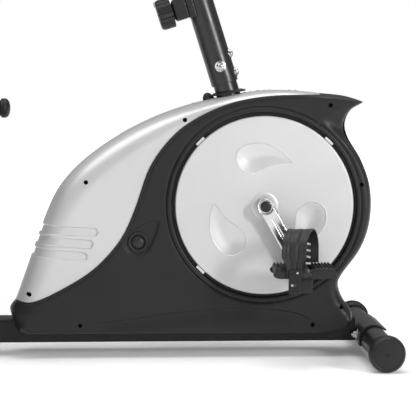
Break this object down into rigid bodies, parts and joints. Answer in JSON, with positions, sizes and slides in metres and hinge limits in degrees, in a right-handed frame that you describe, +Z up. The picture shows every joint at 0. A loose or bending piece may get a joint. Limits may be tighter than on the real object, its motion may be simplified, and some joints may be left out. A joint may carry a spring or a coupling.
{
  "type": "recumbent exercise bike",
  "caption": "Recumbent exercise bike with a belt-driven magnetic flywheel housing, round crank covers, sliding seat with backrest, side grips, mast, console and tension knob.",
  "frame": {"origin": "on the floor, under the middle of the bike's box", "axes": "+X forward, the way the rider faces, +Y to the rider's left, +Z up"},
  "size_m": [1.35, 0.54, 1.2448],
  "materials": {
    "black_paint": "gloss powder coat",
    "black_plastic": "satin",
    "silver_plastic": "silver paint",
    "grey_plastic": "satin",
    "chrome": "bright",
    "steel": "zinc plated",
    "cast_iron": "painted",
    "rubber": "matte",
    "foam": "closed-cell foam",
    "vinyl": "grained vinyl",
    "screen": "clear window"
  },
  "bodies": {
    "frame": {"main_beam": "black_paint", "front_stabiliser": "black_paint", "rear_stabiliser": "black_paint", "front_saddle": "black_paint", "rear_end_cap_left": "grey_plastic", "rear_end_cap_right": "grey_plastic", "mast_post": "black_paint", "crank_bearing_left": "steel", "crank_bearing_right": "steel", "mast": "black_paint", "mast_bolt_front_1": "chrome", "mast_bolt_front_2": "chrome", "mast_bolt_right": "chrome", "mast_collar": "black_plastic", "drive_belt": "rubber", "flywheel_plate_left": "black_paint", "flywheel_plate_right": "black_paint", "silver_shell_left": "silver_plastic", "silver_shell_right": "silver_plastic", "black_cover_left": "black_plastic", "black_cover_right": "black_plastic", "cover_plug": "grey_plastic", "tension_housing": "black_plastic", "console_case": "black_plastic", "console_screen": "screen", "console_bracket": "black_paint", "front_handlebar": "black_paint", "front_grip_left": "foam", "front_grip_right": "foam", "handlebar_clamp": "black_paint", "seat_support": "black_paint"},
    "crank": {"crank_axle": "steel", "drive_pulley": "black_plastic", "crank_disc_left": "silver_plastic", "crank_disc_right": "silver_plastic", "crank_arm_left": "chrome", "crank_arm_right": "chrome", "pedal_spindle_left": "steel", "pedal_spindle_right": "steel"},
    "pedal_right": {"pedal_right": "black_plastic", "pedal_strap_right": "rubber"},
    "pedal_left": {"pedal_left": "black_plastic", "pedal_strap_left": "rubber"},
    "flywheel": {"flywheel": "cast_iron", "pulley_shaft": "steel"},
    "magnet_arm": {"magnet_arm": "steel"},
    "tension_knob": {"tension_knob": "black_plastic"},
    "console_button_1": {"console_button_1": "grey_plastic"},
    "console_button_2": {"console_button_2": "grey_plastic"},
    "console_button_3": {"console_button_3": "grey_plastic"},
    "front_roller_right": {"front_roller_right": "grey_plastic"},
    "front_roller_left": {"front_roller_left": "grey_plastic"},
    "seat": {"seat_carriage": "black_paint", "seat_frame": "black_paint", "seat_cushion": "vinyl", "back_cushion": "vinyl", "seat_handlebar": "black_paint", "seat_grip_left": "foam", "seat_grip_right": "foam"},
    "seat_lever": {"seat_clamp_lever": "black_plastic"}
  },
  "joints": [
    {"name": "flywheel_spin", "type": "hinge", "parent": "frame", "child": "flywheel", "pos_m": [0.203, 0, 0.217], "axis": [0, 1, 0], "continuous": true},
    {"name": "crank_spin", "type": "hinge", "parent": "frame", "child": "crank", "pos_m": [0.437, 0, 0.285], "axis": [0, 1, 0], "continuous": true},
    {"name": "pedal_right_spin", "type": "hinge", "parent": "crank", "child": "pedal_right", "pos_m": [0.49954, -0.158, 0.17447], "axis": [0, 1, 0], "continuous": true},
    {"name": "pedal_left_spin", "type": "hinge", "parent": "crank", "child": "pedal_left", "pos_m": [0.37446, 0.158, 0.39554], "axis": [0, 1, 0], "continuous": true},
    {"name": "tension_knob_turn", "type": "hinge", "parent": "frame", "child": "tension_knob", "pos_m": [0.32013, 0, 0.66022], "axis": [-0.9548, 0, -0.2974], "range_deg": [0, 315]},
    {"name": "magnet_swing", "type": "hinge", "parent": "frame", "child": "magnet_arm", "pos_m": [0.105, 0, 0.117], "axis": [0, 1, 0], "range_deg": [0, 4]},
    {"name": "console_button_1_press", "type": "slide", "parent": "frame", "child": "console_button_1", "axis": [0.848, 0, -0.5299], "range_m": [0, 0.0015], "stiffness_N_per_m": 400},
    {"name": "console_button_2_press", "type": "slide", "parent": "frame", "child": "console_button_2", "axis": [0.848, 0, -0.5299], "range_m": [0, 0.0015], "stiffness_N_per_m": 400},
    {"name": "console_button_3_press", "type": "slide", "parent": "frame", "child": "console_button_3", "axis": [0.848, 0, -0.5299], "range_m": [0, 0.0015], "stiffness_N_per_m": 400},
    {"name": "front_roller_right_spin", "type": "hinge", "parent": "frame", "child": "front_roller_right", "pos_m": [0.642, -0.225, 0.033], "axis": [0, 1, 0], "continuous": true},
    {"name": "front_roller_left_spin", "type": "hinge", "parent": "frame", "child": "front_roller_left", "pos_m": [0.642, 0.225, 0.033], "axis": [0, 1, 0], "continuous": true},
    {"name": "seat_slide", "type": "slide", "parent": "frame", "child": "seat", "axis": [1, 0, 0], "range_m": [-0.15, 0.12]},
    {"name": "seat_lever_turn", "type": "hinge", "parent": "seat", "child": "seat_lever", "pos_m": [-0.283, -0.0304, 0.33], "axis": [0, 1, 0], "range_deg": [0, 60]}
  ],
  "couplings": [
    {"joint": "crank_spin", "follows": "flywheel_spin", "ratio": 0.22857},
    {"joint": "magnet_swing", "follows": "tension_knob_turn", "ratio": 0.012698}
  ]
}
